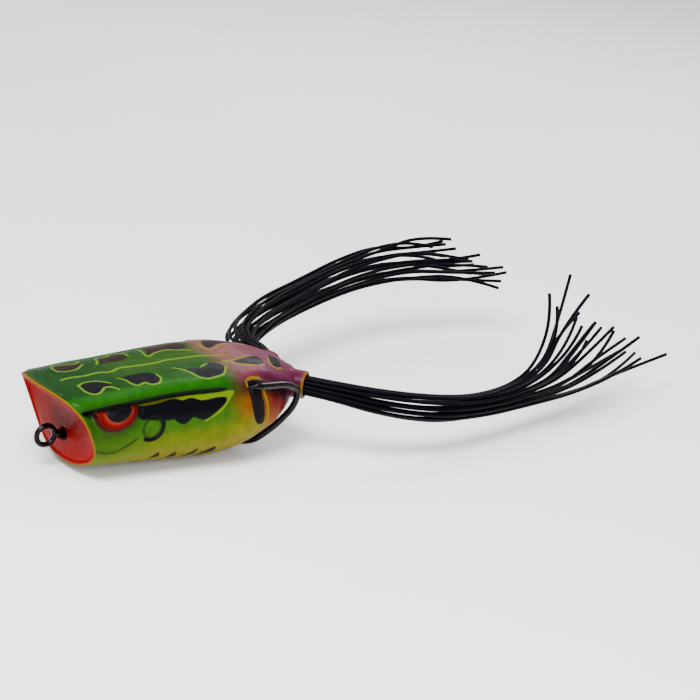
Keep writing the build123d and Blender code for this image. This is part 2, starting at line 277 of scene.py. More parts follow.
# ---- paint and studio ----------------------------------------------------------------------
RICHNESS = 1.35                    # the lights and the film soften paint, so it is mixed richer
DEPTH = 0.36                       # and deeper than it should look
GIRTH_SPAN = 36.0                  # the girth at which the paint's ramps end
NOISE_ROUGHNESS = 0.55
SKIN_SPECULAR = 0.03
RUBBER_SPECULAR = 0.03
FLOOR_HALF = 3000.0
FLOOR_SHADES = (0.90, 0.94)
WORLD_STRENGTH = 0.9
LIGHTS_AIM = (0, 30, 10)
LIGHTS = (                         # name, place, width, power in watts
    ("key", (140, -220, 440), 300, 6.0),
    ("fill", (440, -60, 180), 320, 1.6),
    ("back", (-260, 360, 340), 300, 1.4),
)


# ---- small helpers ------------------------------------------------------------------------
def paint(red, green, blue):
    """A colour as it should look under the studio lights, from 0 to 255, as a shader's colour."""
    linear = [c / 12.92 if c <= 0.04045 else ((c + 0.055) / 1.055) ** 2.4
              for c in (red / 255, green / 255, blue / 255)]
    grey = 0.2 * linear[0] + 0.7 * linear[1] + 0.1 * linear[2]
    return (*(max(0.0, (grey + (c - grey) * RICHNESS) * DEPTH) for c in linear), 1.0)


def smooth_step(value, low, high):
    t = np.clip((value - low) / (high - low), 0, 1)
    return t * t * (3 - 2 * t)


def bump(distance, width):
    """A smooth hump, 1 where distance is 0."""
    return np.exp(-(distance / width) ** 2)


def curve_through(points, closed=False, steps=6):
    """A Catmull-Rom curve through a few points, as a denser line of points."""
    p = np.array(points, float)
    count = len(p)
    if closed:
        p = np.vstack([p[-1:], p, p[:2]])
    else:
        p = np.vstack([2 * p[:1] - p[1:2], p, 2 * p[-1:] - p[-2:-1]])
    runs = count if closed else count - 1
    line = []
    for i in range(runs):
        a, b, c, d = p[i:i + 4]
        for t in np.arange(steps) / steps:
            line.append(0.5 * (2 * b + (c - a) * t + (2 * a - 5 * b + 4 * c - d) * t ** 2
                               + (3 * b - a - 3 * c + d) * t ** 3))
    line.append(line[0] if closed else p[-2])
    return np.array(line)


def distance_to_line(line, y, g):
    """Each place's distance to the line on the skin."""
    nearest = np.full(y.shape, 1e9)
    for (y0, g0), (y1, g1) in zip(line, line[1:]):
        dy, dg = y1 - y0, g1 - g0
        t = np.clip(((y - y0) * dy + (g - g0) * dg) / max(dy * dy + dg * dg, 1e-9), 0, 1)
        nearest = np.minimum(nearest, np.hypot(y - y0 - t * dy, g - g0 - t * dg))
    return nearest


def inside_loop(loop, y, g):
    inside = np.zeros(y.shape, bool)
    for (y0, g0), (y1, g1) in zip(loop, loop[1:]):
        crosses = (g0 > g) != (g1 > g)
        inside ^= crosses & (y < (y1 - y0) * (g - g0) / (g1 - g0 + 1e-12) + y0)
    return inside


def mark_field(y, g, shapes, lines=(), half_width=0.3):
    """How deep each place lies inside the marks, in mm; negative is outside, as far as 4 mm."""
    field = np.full(y.shape, FAR_AWAY)
    for points, closed in [(s, True) for s in shapes] + [(s, False) for s in lines]:
        line = curve_through(points, closed)
        near = ((y > line[:, 0].min() + FAR_AWAY) & (y < line[:, 0].max() - FAR_AWAY)
                & (g > line[:, 1].min() + FAR_AWAY) & (g < line[:, 1].max() - FAR_AWAY))
        distance = distance_to_line(line, y[near], g[near])
        if closed:
            depth = np.where(inside_loop(line, y[near], g[near]), distance, -distance)
        else:
            depth = half_width - distance
        field[near] = np.maximum(field[near], depth)
    return field


def new_mesh_object(name, verts, faces, smooth=True):
    mesh = bpy.data.meshes.new(name)
    mesh.from_pydata([tuple(v) for v in np.asarray(verts) * MM], [], faces)
    mesh.validate()
    mesh.update()
    if smooth:
        mesh.polygons.foreach_set("use_smooth", [True] * len(mesh.polygons))
    obj = bpy.data.objects.new(name, mesh)
    bpy.context.scene.collection.objects.link(obj)
    return obj


def set_attribute(obj, name, values):
    attribute = obj.data.attributes.new(name, "FLOAT", "POINT")
    attribute.data.foreach_set("value", np.asarray(values, np.float32))


# ---- camera -------------------------------------------------------------------------------
def make_camera():
    turn, tilt, roll = (math.radians(a) for a in (CAMERA_AZIMUTH, CAMERA_ELEVATION, CAMERA_ROLL))
    back = Vector((math.sin(turn) * math.cos(tilt), -math.cos(turn) * math.cos(tilt), math.sin(tilt)))
    right = Vector((math.cos(turn), math.sin(turn), 0))
    up = back.cross(right)
    rolled_right = right * math.cos(roll) + up * math.sin(roll)
    rolled_up = up * math.cos(roll) - right * math.sin(roll)
    camera = bpy.data.objects.new("camera", bpy.data.cameras.new("camera"))
    bpy.context.scene.collection.objects.link(camera)
    place = (Vector(CAMERA_TARGET) + back * CAMERA_DISTANCE) * MM
    facing = Matrix((rolled_right, rolled_up, back)).transposed().to_4x4()
    camera.matrix_world = Matrix.Translation(place) @ facing
    camera.data.lens = CAMERA_LENS
    camera.data.sensor_width = CAMERA_SENSOR
    camera.data.clip_start = CAMERA_CLIP
    bpy.context.scene.camera = camera


# ---- leg strands --------------------------------------------------------------------------
def bundle_places():
    """Each strand's place in the bundle: sideways and upwards in the sleeve, then sideways and
    upwards outside it, where they fan out evenly along a line that leans over by FAN_LEAN."""
    packed = []
    for count, radius in RINGS:
        for i in range(count):
            angle = 2 * math.pi * (i + 0.25) / count
            packed.append((radius * math.cos(angle), radius * math.sin(angle)))
    lean = math.radians(FAN_LEAN)
    along_fan = [above * math.cos(lean) - across * math.sin(lean) for across, above in packed]
    top = RINGS[-1][1]
    step = 2 * top / (len(packed) - 1)
    places = []
    for (across, above), reach in zip(packed, along_fan):
        out = above * math.sin(lean) + across * math.cos(lean)
        even = sorted(along_fan).index(reach) * step - top
        places.append((across, above, out * math.cos(lean) - even * math.sin(lean),
                       out * math.sin(lean) + even * math.cos(lean)))
    return places


def strand_route(route, spread, curl, place):
    """The strand's control points, as in the CAD: its place in the bundle along the guide."""
    packed_across, packed_above, open_across, open_above = place
    lift = CURL_BIAS + (1 - CURL_BIAS) * open_above / RINGS[-1][1]
    points = []
    for k, centre in enumerate(route):
        in_sleeve = k < 2
        before = Vector(route[0 if in_sleeve else k - 1])
        after = Vector(route[1 if in_sleeve else min(k + 1, len(route) - 1)])
        along = (after - before).normalized()
        sideways = along.cross(Vector((0, 0, 1))).normalized()
        up = sideways.cross(along)
        across = packed_across if in_sleeve else open_across
        above = packed_above if in_sleeve else open_above
        point = Vector(centre) + (sideways * across + up * above) * spread[k]
        point += Vector(curl) * (lift * CURL_GROWTH[k])
        points.append(point)
    return points


def nurbs_line(name, points):
    """The smooth line that a NURBS spline makes of its control points, in metres."""
    curve = bpy.data.curves.new(name, "CURVE")
    curve.dimensions = "3D"
    curve.resolution_u = LINE_RESOLUTION
    spline = curve.splines.new("NURBS")
    spline.points.add(len(points) - 1)
    for control, point in zip(spline.points, points):
        control.co = (*(Vector(point) * MM), 1.0)
    spline.order_u = 3
    spline.use_endpoint_u = True
    holder = bpy.data.objects.new(name, curve)
    bpy.context.scene.collection.objects.link(holder)
    bpy.context.view_layer.update()
    mesh = bpy.data.meshes.new_from_object(holder)
    line = [v.co.copy() for v in mesh.vertices]
    bpy.data.objects.remove(holder)
    bpy.data.meshes.remove(mesh)
    return line


def tube_mesh(line, radii, sides):
    """Rings carried along a line without twisting. Returns vertices and faces; both ends closed."""
    tangents = [(b - a).normalized() for a, b in zip(line, line[1:])]
    middles = [(a + b).normalized() for a, b in zip(tangents, tangents[1:])]
    tangents = [tangents[0]] + middles + [tangents[-1]]
    normal = tangents[0].orthogonal().normalized()
    verts, faces = [], []
    for place, tangent, radius in zip(line, tangents, radii):
        normal = (normal - tangent * normal.dot(tangent)).normalized()
        other = tangent.cross(normal)
        for i in range(sides):
            angle = 2 * math.pi * i / sides
            verts.append(place + (normal * math.cos(angle) + other * math.sin(angle)) * radius)
    for ring in range(len(line) - 1):
        for i in range(sides):
            j = (i + 1) % sides
            near, far = ring * sides, (ring + 1) * sides
            faces.append((near + i, near + j, far + j, far + i))
    faces.append(tuple(reversed(range(sides))))
    faces.append(tuple(range((len(line) - 1) * sides, len(line) * sides)))
    return verts, faces


def make_strands(material):
    generator = np.random.default_rng(WANDER_SEED)
    legs = (
        ("left", 1, LEFT_ROUTE, LEFT_SPREAD, LEFT_CURL),
        ("right", -1, RIGHT_ROUTE, RIGHT_SPREAD, RIGHT_CURL),
    )
    for name, side, route, spread, curl in legs:
        for number, place in enumerate(bundle_places(), 1):
            points = strand_route(route, spread, curl, place)
            for k in range(2, len(points)):
                points[k] = points[k] + Vector(generator.normal(0, WANDER_ROOT + WANDER_GROWTH * k, 3))
            end_run = (points[-1] - points[-2]).normalized()
            points[-2] = points[-2] + Vector(generator.normal(0, WANDER_BEND, 3))
            cut = end_run * generator.uniform(*TIP_CUT)
            points[-1] = points[-1] + cut + Vector(generator.normal(0, WANDER_TIP, 3))
            line = nurbs_line("strand_line", points)
            radius = STRAND_DIAMETER / 2 * MM
            verts, faces = tube_mesh(line, [radius] * len(line), TUBE_SIDES)
            strand = new_mesh_object(f"{name}_rubber_{number:02d}", np.array(verts) / MM, faces)
            strand.data.materials.append(material)
            set_attribute(strand, "strand_number", [generator.random()] * len(verts))
            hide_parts(f"{name}_leg_strand_{number:02d}")
            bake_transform(strand)


# ---- skin ---------------------------------------------------------------------------------
def leg_direction(side):
    angle = math.radians(LEG_ANGLE)
    return Vector((side * math.sin(angle), math.cos(angle), 0))


def sleeve_point(side, along):
    return Vector((side * SLEEVE_ROOT[0], SLEEVE_ROOT[1], SLEEVE_ROOT[2])) + leg_direction(side) * along


def station_values(y):
    """The station columns at each y, smoothly through all stations."""
    ys = STATIONS[:, 0]
    values = STATIONS[:, 1:]
    steps = np.diff(ys)[:, None]
    slopes = np.diff(values, axis=0) / steps
    tangents = np.vstack([slopes[:1], (slopes[:-1] * steps[1:] + slopes[1:] * steps[:-1])
                          / (steps[1:] + steps[:-1]), slopes[-1:]])
    i = np.clip(np.searchsorted(ys, y) - 1, 0, len(ys) - 2)
    h = (ys[i + 1] - ys[i])[:, None]
    t = ((y - ys[i])[:, None]) / h
    return ((2 * t ** 3 - 3 * t ** 2 + 1) * values[i] + (t ** 3 - 2 * t ** 2 + t) * h * tangents[i]
            + (3 * t ** 2 - 2 * t ** 3) * values[i + 1] + (t ** 3 - t ** 2) * h * tangents[i + 1])


def half_sections(ys, places):
    """Half of each section from back to belly, at even shares of its girth: x, z and girth."""
    angles = np.linspace(math.pi / 2, -math.pi / 2, SECTION_ANGLES)
    c, s = np.cos(angles), np.sin(angles)
    half, top, bottom, middle, above, below = station_values(ys).T[:, :, None]
    power = np.where(s > 0, above, below)
    x = half * np.abs(c) ** power
    z = middle + np.where(s > 0, top - middle, middle - bottom) * np.sign(s) * np.abs(s) ** power
    x[:, 0] = x[:, -1] = 0
    runs = np.cumsum(np.hypot(np.diff(x), np.diff(z)), axis=1)
    girth = np.concatenate([np.zeros((len(ys), 1)), runs], axis=1)
    shares = np.linspace(0, 1, places)
    rows = [[np.interp(shares * g[-1], g, values) for values in (xs, zs, g)]
            for xs, zs, g in zip(x, z, girth)]
    return np.array(rows).transpose(1, 0, 2)


def mouth_y(x, z):
    return LIP_Y + MOUTH_SLANT * (LIP_Z - z) + MOUTH_SWEEP * (x / MOUTH_HALF) ** 2


def base_grid():
    """The plain skin: rows from the tail's end to the mouth's rim, over the lip and down the cup.
    Returns the points, and for each its y and signed girth and how far inside the mouth it is."""
    half = COLUMNS // 2
    ys = np.arange(SAMPLE_START, TAIL_START + SAMPLE_STEP / 2, SAMPLE_STEP)
    xt, zt, gt = half_sections(ys, half + 1)
    column = np.concatenate([np.arange(half + 1), np.arange(half - 1, 0, -1)])
    side = np.concatenate([np.ones(half + 1), -np.ones(half - 1)])

    def on_skin(y):
        """Points on the skin for a y in each column."""
        rows = [[np.interp(yy, ys, table[:, k]) for yy, k in zip(y, column)] for table in (xt, zt, gt)]
        x, z, g = np.array(rows)
        return x * side, z, g * side

    rim = np.full(COLUMNS, RIM_GUESS)
    for _ in range(RIM_ROUNDS):
        x, z = on_skin(rim)[:2]
        rim = 0.5 * rim + 0.5 * mouth_y(x, z)
    rim_back = rim + LIP_ROUND

    rows = []
    tail_x, tail_z, tail_g = on_skin(np.full(COLUMNS, TAIL_START))
    tail_middle = station_values(np.array([TAIL_START]))[0, 3]
    for i in range(TAIL_ROWS):
        angle = math.pi / 2 * (1 - (i + POLE_GAP) / (TAIL_ROWS + POLE_GAP))
        shrink = math.cos(angle)
        rows.append((tail_x * shrink, np.full(COLUMNS, TAIL_START + TAIL_LENGTH * math.sin(angle)),
                     tail_middle + (tail_z - tail_middle) * shrink, tail_g,
                     np.full(COLUMNS, NOT_IN_MOUTH)))
    for t in np.linspace(0, 1, BODY_ROWS):
        y = TAIL_START + (rim_back - TAIL_START) * t
        x, z, g = on_skin(y)
        rows.append((x, y, z, g, rim - y))

    x_out, z_out, g_out = on_skin(rim_back)
    centre_z = 0.5 * (z_out.max() + z_out.min())
    nx = np.roll(z_out, 1) - np.roll(z_out, -1)
    nz = np.roll(x_out, -1) - np.roll(x_out, 1)
    length = np.hypot(nx, nz)
    outward = np.sign(nx * x_out + nz * (z_out - centre_z))
    nx, nz = nx / length * outward, nz / length * outward
    for i in range(1, LIP_ROWS + 1):
        angle = math.pi * i / LIP_ROWS
        inwards = LIP_THICKNESS / 2 * (1 - math.cos(angle))
        forwards = LIP_ROUND * math.sin(angle)
        rows.append((x_out - nx * inwards, rim_back - forwards, z_out - nz * inwards, g_out,
                     np.full(COLUMNS, 0.1 + inwards)))
    x_in, y_in, z_in = rows[-1][:3]
    for i in range(1, CUP_ROWS + 1):
        share = 1 - i / (CUP_ROWS + CUP_POLE_GAP)
        spread = math.sin(math.pi / 2 * share ** CUP_CROWDING)
        depth = (1 - spread ** CUP_FULLNESS) ** (1 / CUP_FULLNESS)
        mark = CUP_EDGE_MARK + (CUP_MIDDLE_MARK - CUP_EDGE_MARK) * (1 - share)
        rows.append((x_in * spread, y_in + (CUP_BACK - y_in) * depth,
                     CUP_MIDDLE_Z + (z_in - CUP_MIDDLE_Z) * spread, g_out, np.full(COLUMNS, mark)))
    x, y, z, g, inside = np.array(rows).transpose(1, 0, 2)
    tail_pole = (0.0, TAIL_END, tail_middle)
    cup_pole = (0.0, CUP_BACK, CUP_MIDDLE_Z)
    return np.stack([x, y, z], -1), g, inside, tail_pole, cup_pole


def grid_normals(points):
    """Outward unit normals of the grid."""
    along = np.gradient(points, axis=0)
    around = np.roll(points, -1, axis=1) - np.roll(points, 1, axis=1)
    normals = np.cross(around, along)
    normals /= np.maximum(np.linalg.norm(normals, axis=-1, keepdims=True), 1e-9)
    body = slice(TAIL_ROWS + INNER_ROWS, TAIL_ROWS + BODY_ROWS - INNER_ROWS)
    outwards = points[body, :, 0] * normals[body, :, 0]
    return normals if outwards.mean() > 0 else -normals


def tube_gap(points, side):
    """Distance of each point to the outside of the leg sleeve, negative inside it."""
    root = np.array(sleeve_point(side, 0))
    axis = np.array(leg_direction(side))
    offset = points - root
    along = offset @ axis
    across = np.linalg.norm(offset - along[..., None] * axis, axis=-1)
    beyond = np.maximum(np.maximum(SLEEVE_BACK - along, along - SLEEVE_LENGTH), 0)
    return np.hypot(np.maximum(across - SLEEVE_RADIUS, 0), beyond) + np.minimum(across - SLEEVE_RADIUS, 0)


def fillet_rise(gap):
    """How far two surfaces that meet are filled out, at this distance from each other."""
    share = np.clip(1 - np.abs(gap) / SLEEVE_FILLET, 0, 1)
    return share ** 2 * SLEEVE_FILLET / 4


def ridge_at(y):
    line = np.array(RIDGE_LINE)
    return np.interp(y, line[:, 0], line[:, 1])


def ellipse_share(y, g, centre, size):
    """0 at an ellipse's middle and 1 on its edge."""
    return np.hypot((y - centre[0]) / size[0], (g - centre[1]) / size[1])


def eardrum_distance(y, g):
    return np.hypot(y - EARDRUM[0], g - EARDRUM[1])


def hump(distance, size):
    """A smooth hump of the given height and width."""
    height, width = size
    return height * bump(distance, width)


def line_hump(line, y, g, size):
    return hump(distance_to_line(curve_through(line), y, g), size)


def sculpt_height(y, girth):
    """How far the skin stands out from the plain body, in mm."""
    g = np.abs(girth)
    below = g - ridge_at(y)
    fade = smooth_step(y, 12.0, 1.0)
    height = -hump(g, BACK_HOLLOW) * smooth_step(y, 24.0, 10.0)
    height += hump(below + 1.3, RIDGE_SWELL) * smooth_step(y, 16.0, 6.0)
    height -= fade * hump(below - 0.35, RIDGE_GROOVE)
    height -= fade * CHEEK_DROP * smooth_step(below, -0.1, 0.3) * smooth_step(below, 5.0, 1.0)

    ring = ellipse_share(y, g, EYE, RING_SIZE)
    ball = ellipse_share(y, g, PUPIL, PUPIL_SIZE)
    eye = RING_RISE * smooth_step(ring, 1.12, 0.80) + PUPIL_RISE * smooth_step(ball, 1.0, 0.2)
    eye -= hump(ball - 1.0, PUPIL_GROOVE) + hump(ring - 1.1, RING_GROOVE)
    height += eye * smooth_step(below, 0.0, 0.45)
    height += bump(y - EYE[0] - 0.6, 5.0) * hump(below + 0.75, BROW_SWELL)
    height -= EYE_SLIT_DEPTH * smooth_step(mark_field(y, g, [EYE_SLIT]), -0.3, 0.4)

    drum = eardrum_distance(y, g)
    height -= hump(drum - EARDRUM_RADIUS, EARDRUM_GROOVE)
    height += EARDRUM_RISE * smooth_step(drum, EARDRUM_RADIUS, 0.6)
    height -= line_hump(SMILE, y, g, SMILE_GROOVE)
    height += line_hump(np.array(SMILE) - LIP_OFFSET, y, g, LIP_SWELL)

    height -= line_hump(HIP_CREASE, y, g, HIP_GROOVE)
    height += line_hump(np.array(HIP_CREASE) - HIP_OFFSET, y, g, HIP_SWELL)
    height += THIGH_RISE * smooth_step(distance_to_line(np.array(THIGH), y, g), 4.2, 1.0)
    height -= line_hump(HIP_STRIPE[6:] + HIP_STRIPE[:1], y, g, STRIPE_GROOVE)
    return height


def slot_depth(along, across, start, end, half_width):
    """How deep a place lies inside a round-ended slot, in mm."""
    middle = np.clip(along, start + half_width, end - half_width)
    return half_width - np.hypot(along - middle, across)


def make_skin(material):
    points, girth, inside, tail_pole, cup_pole = base_grid()
    normals = grid_normals(points)
    y = points[..., 1]
    height = sculpt_height(y, girth) * smooth_step(-inside, *RIM_FADE) * smooth_step(y, *TAIL_FADE)
    for side in (1, -1):
        height += fillet_rise(tube_gap(points, side)) * (y > FILLET_START_Y)
    points = points + normals * height[..., None]

    slot = slot_depth(points[..., 1], points[..., 0], *BELLY_SLOT)
    under = (points[..., 2] < BELLY_SLOT_TOP) & (inside < BELLY_SLOT_MOUTH)
    points[..., 2] += np.where(under, BELLY_SLOT_DEPTH * smooth_step(slot, -0.15, 0.35), 0)
    half_width, half_height = (size + NOSE_SLOT_MARGIN for size in NOSE_SLOT[:2])
    nose = slot_depth(points[..., 0], points[..., 2] - NOSE_SLOT[2], -half_width, half_width, half_height)
    points[..., 1] += np.where(inside > NOSE_SLOT_MOUTH, NOSE_SLOT_DEPTH * smooth_step(nose, -0.3, 0.2), 0)

    rows, columns = girth.shape
    verts = points.reshape(-1, 3)
    faces = []
    for r in range(rows - 1):
        for c in range(columns):
            d = (c + 1) % columns
            here, there = r * columns, (r + 1) * columns
            faces.append((here + c, here + d, there + d, there + c))
    tail_index, cup_index = len(verts), len(verts) + 1
    last = (rows - 1) * columns
    for c in range(columns):
        d = (c + 1) % columns
        faces.append((tail_index, d, c))
        faces.append((cup_index, last + c, last + d))
    verts = np.vstack([verts, tail_pole, cup_pole])
    flat_girth = np.append(girth.ravel(), (0, 0))
    flat_y = np.append(y.ravel(), (tail_pole[1], cup_pole[1]))
    flat_inside = np.append(inside.ravel(), (NOT_IN_MOUTH, CUP_MIDDLE_MARK))
    slot_field = np.append(np.where(under, slot, FAR_AWAY).ravel(), (FAR_AWAY, FAR_AWAY))
    sleeve_field = np.full(len(verts), FAR_AWAY)

    sleeves = [sleeve_mesh(side) for side in (1, -1)]
    for sleeve_verts, sleeve_faces, bore in sleeves:
        start = len(verts)
        faces += [tuple(start + i for i in face) for face in sleeve_faces]
        verts = np.vstack([verts, sleeve_verts])
        count = len(sleeve_verts)
        angle = np.arctan2(np.abs(sleeve_verts[:, 0]), sleeve_verts[:, 2] - SLEEVE_ROOT[2] + 0.01)
        flat_girth = np.append(flat_girth, SLEEVE_GIRTH[0] + angle * SLEEVE_GIRTH[1])
        flat_y = np.append(flat_y, sleeve_verts[:, 1])
        flat_inside = np.append(flat_inside, np.full(count, NOT_IN_MOUTH))
        slot_field = np.append(slot_field, np.full(count, FAR_AWAY))
        sleeve_field = np.append(sleeve_field, bore)

    skin = new_mesh_object("frog_skin", verts, faces)
    skin.data.materials.append(material)
    y, signed, g = flat_y, flat_girth, np.abs(flat_girth)
    side_back = np.abs(signed - MIDDLE_LINE)
    left = signed > MIDDLE_LINE
    on_sleeve = sleeve_field > FAR_AWAY
    spots = mark_field(y, side_back, SPOTS + [TAIL_SPOT])
    spots = np.maximum(spots, np.where(left, mark_field(y, side_back, LEFT_SPOTS),
                                       mark_field(y, side_back, RIGHT_SPOTS)))
    dark = mark_field(y, g, [BAND, HIP_STRIPE] + BELLY_MARKS)
    dark = np.maximum(dark, mark_field(y, g, [], [EARDRUM_SHADE], SHADE_HALF))
    dark = np.maximum(dark, spots + SPOT_GROWTH)
    line = mark_field(y, signed - MIDDLE_LINE, [], [BACK_LINE], BACK_LINE_HALF)
    line = np.maximum(line, mark_field(y, side_back, [], SPOT_LINES + [TAIL_LINE], OUTLINE_HALF))
    line = np.maximum(line, np.where(left, mark_field(y, side_back, [], LEFT_LINES, OUTLINE_HALF),
                                     mark_field(y, side_back, [], RIGHT_LINES, OUTLINE_HALF)))
    line = np.maximum(line, mark_field(y, g, [], HIP_LINES, HIP_LINE_HALF))
    band_edge = mark_field(y, g, [BAND_EDGE])
    ring = (1 - ellipse_share(y, g, EYE, RING_SIZE)) * 4
    pupil = (1 - ellipse_share(y, g, PUPIL, PUPIL_SIZE)) * 2.5
    below_ridge = g - ridge_at(y)
    eye_cut = (below_ridge - 0.15) * 2
    # Painted shade in the smile's groove, the groove round the eardrum and the slit ahead of the eye.
    groove_shade = np.maximum(bump(distance_to_line(curve_through(SMILE), y, g), 0.35),
                        bump(eardrum_distance(y, g) - EARDRUM_RADIUS, 0.35))
    groove_shade = np.maximum(groove_shade, smooth_step(mark_field(y, g, [EYE_SLIT]), -0.2, 0.3) * 1.5)
    # Painted shadow: a dark line just under the ridge's overhang, from behind the mouth back to the middle of
    # the body.
    brow_shadow = 1.8 * bump(below_ridge - 0.05, 0.36)
    brow_shadow = brow_shadow * smooth_step(y, 7.0, 4.0) * smooth_step(y, -27.0, -25.5)
    flank_only = ~on_sleeve
    fields = {
        "paint_y": y,
        "paint_girth": g,
        "side": signed,
        "dark_mark": np.where(flank_only, dark, FAR_AWAY),
        "pale_line": np.where(flank_only, line, FAR_AWAY),
        "eye_ring": np.minimum(ring, eye_cut),
        "pupil": np.minimum(pupil, eye_cut),
        "band_edge": np.where(flank_only, band_edge, FAR_AWAY),
        "groove_shade": np.where(flank_only, groove_shade, 0),
        "brow_shadow": np.where(flank_only, brow_shadow, 0),
        "mouth": flat_inside,
        "slot": slot_field,
        "sleeve_end": sleeve_field,
        "ridge": below_ridge,
    }
    for name, values in fields.items():
        set_attribute(skin, name, values)
    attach(skin, "body")
    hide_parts("body_shell")


def sleeve_mesh(side):
    """The leg sleeve: a tube that swells into the tail at its root, open at its end.
    Returns vertices, faces, and how near each vertex is to the sleeve's end."""
    axis = np.array(leg_direction(side))
    up = np.array((0.0, 0.0, 1.0))
    across = np.cross(up, axis)
    root = np.array(sleeve_point(side, 0))
    edge_start, edge_radius = SLEEVE_LENGTH - SLEEVE_EDGE, SLEEVE_RADIUS - SLEEVE_EDGE
    profile = [(a, SLEEVE_RADIUS) for a in np.linspace(SLEEVE_BACK, edge_start, SLEEVE_ROWS)]
    profile += [(edge_start + SLEEVE_EDGE * math.sin(t), edge_radius + SLEEVE_EDGE * math.cos(t))
                for t in (0.4, 0.8, 1.2, math.pi / 2)]
    profile += [(SLEEVE_LENGTH, SLEEVE_BORE + SLEEVE_CHAMFER), (SLEEVE_LENGTH - SLEEVE_CHAMFER, SLEEVE_BORE)]
    bore_rows = np.linspace(SLEEVE_LENGTH - BORE_FROM_MOUTH, BORE_END, BORE_ROWS)
    profile += [(a, SLEEVE_BORE) for a in bore_rows]
    verts, ends = [], []
    for along, radius in profile:
        for i in range(SLEEVE_SIDES):
            angle = 2 * math.pi * i / SLEEVE_SIDES
            direction = across * math.cos(angle) + up * math.sin(angle)
            point = root + axis * along + direction * radius
            if radius > SLEEVE_BORE + 0.3:
                point = point + direction * float(fillet_rise(skin_gap(point)))
            verts.append(point)
            in_bore = radius <= SLEEVE_BORE + 0.05
            ends.append(along - SLEEVE_LENGTH + (BORE_MARK if in_bore else 0))
    faces = []
    for r in range(len(profile) - 1):
        for i in range(SLEEVE_SIDES):
            j = (i + 1) % SLEEVE_SIDES
            here, there = r * SLEEVE_SIDES, (r + 1) * SLEEVE_SIDES
            quad = (here + i, here + j, there + j, there + i)
            faces.append(quad if side > 0 else quad[::-1])
    return np.array(verts), faces, np.array(ends)


def skin_gap(point):
    """Roughly how far a point is outside the plain body, in mm."""
    x, y, z = point
    y_in = min(y, SKIN_GAP_LIMIT)
    half, top, bottom, middle, above, below = station_values(np.array([y_in]))[0]
    power, reach = (above, top - middle) if z > middle else (below, middle - bottom)
    size = (abs(x / half) ** (2 / power) + abs((z - middle) / reach) ** (2 / power)) ** (power / 2)
    gap = (size - 1) * math.hypot(x, z - middle) / max(size, 1e-6)
    return math.hypot(max(gap, 0), max(y - TAIL_END, 0)) + min(gap, 0)


# ---- materials ----------------------------------------------------------------------------
class Nodes:
    """Short ways to build a material's node tree."""

    def __init__(self, name):
        self.material = bpy.data.materials.new(name)
        self.material.use_nodes = True
        self.tree = self.material.node_tree
        self.tree.nodes.clear()
        self.output = self.tree.nodes.new("ShaderNodeOutputMaterial")
        self.shader = self.tree.nodes.new("ShaderNodeBsdfPrincipled")
        self.tree.links.new(self.shader.outputs[0], self.output.inputs[0])

    def put(self, socket, value):
        if hasattr(value, "is_output"):
            self.tree.links.new(value, socket)
        else:
            socket.default_value = value

    def set(self, name, value):
        self.put(self.shader.inputs[name], value)

    def attribute(self, name):
        node = self.tree.nodes.new("ShaderNodeAttribute")
        node.attribute_name = name
        return node.outputs["Fac"]

    def math(self, operation, a, b):
        node = self.tree.nodes.new("ShaderNodeMath")
        node.operation = operation
        self.put(node.inputs[0], a)
        self.put(node.inputs[1], b)
        return node.outputs[0]

    def span(self, value, low, high, to_low=0.0, to_high=1.0):
        node = self.tree.nodes.new("ShaderNodeMapRange")
        node.interpolation_type = "SMOOTHSTEP"
        self.put(node.inputs["Value"], value)
        for socket, number in zip(("From Min", "From Max", "To Min", "To Max"), (low, high, to_low, to_high)):
            node.inputs[socket].default_value = number
        return node.outputs["Result"]

    def mix(self, factor, a, b, mode="MIX"):
        node = self.tree.nodes.new("ShaderNodeMix")
        node.data_type = "RGBA"
        node.blend_type = mode
        self.put(node.inputs["Factor"], factor)
        self.put(node.inputs["A"], a)
        self.put(node.inputs["B"], b)
        return node.outputs["Result"]

    def noise(self, scale, detail):
        node = self.tree.nodes.new("ShaderNodeTexNoise")
        node.inputs["Scale"].default_value = scale
        node.inputs["Detail"].default_value = detail
        node.inputs["Roughness"].default_value = NOISE_ROUGHNESS
        coordinates = self.tree.nodes.new("ShaderNodeTexCoord").outputs["Object"]
        self.tree.links.new(coordinates, node.inputs["Vector"])
        return node.outputs["Fac"]

    def ramp(self, value, stops):
        node = self.tree.nodes.new("ShaderNodeValToRGB")
        node.color_ramp.interpolation = "EASE"
        elements = node.color_ramp.elements
        while len(elements) < len(stops):
            elements.new(0.5)
        for element, (place, colour) in zip(elements, stops):
            element.position = place
            element.color = colour
        self.put(node.inputs["Fac"], value)
        return node.outputs["Color"]

    def bump(self, height, distance, strength):
        node = self.tree.nodes.new("ShaderNodeBump")
        node.inputs["Distance"].default_value = distance
        node.inputs["Strength"].default_value = strength
        self.tree.links.new(height, node.inputs["Height"])
        self.tree.links.new(node.outputs["Normal"], self.shader.inputs["Normal"])


